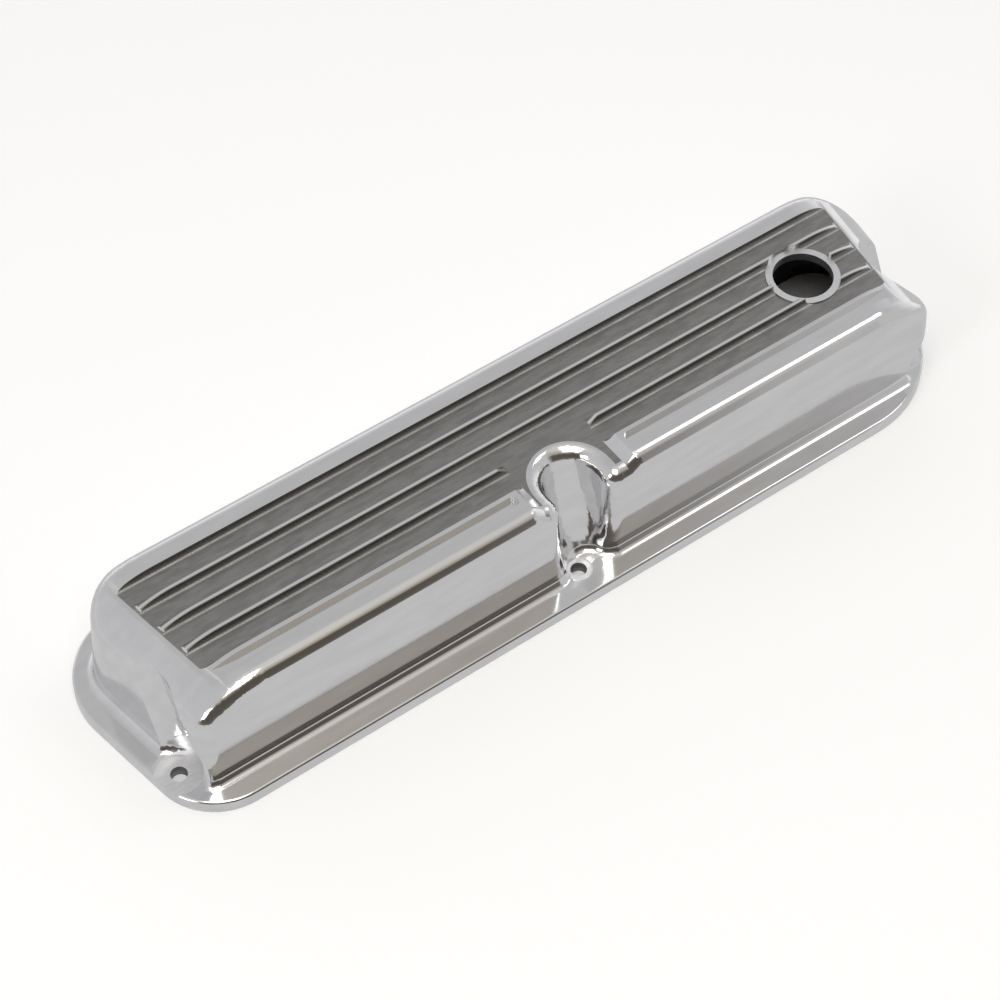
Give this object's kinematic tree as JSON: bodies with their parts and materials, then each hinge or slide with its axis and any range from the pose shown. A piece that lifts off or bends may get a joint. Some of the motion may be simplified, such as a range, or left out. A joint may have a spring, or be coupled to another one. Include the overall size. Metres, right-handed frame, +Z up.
{
  "type": "engine valve cover",
  "caption": "Finned cast valve cover: hollow drafted body on a flange, with bolt pockets in its walls and a round breather hole in the crown.",
  "frame": {"origin": "middle of the gasket face on the underside of the flange", "axes": "+X along the cover, +Y across it away from the side with the middle bolt pocket, +Z up out of the crown"},
  "size_m": [0.4872, 0.128, 0.065],
  "materials": {
    "polished_aluminium": "cast aluminium, polished outside, satin floors between the fins"
  },
  "bodies": {
    "root": {"cover_casting": "polished_aluminium"}
  },
  "joints": []
}
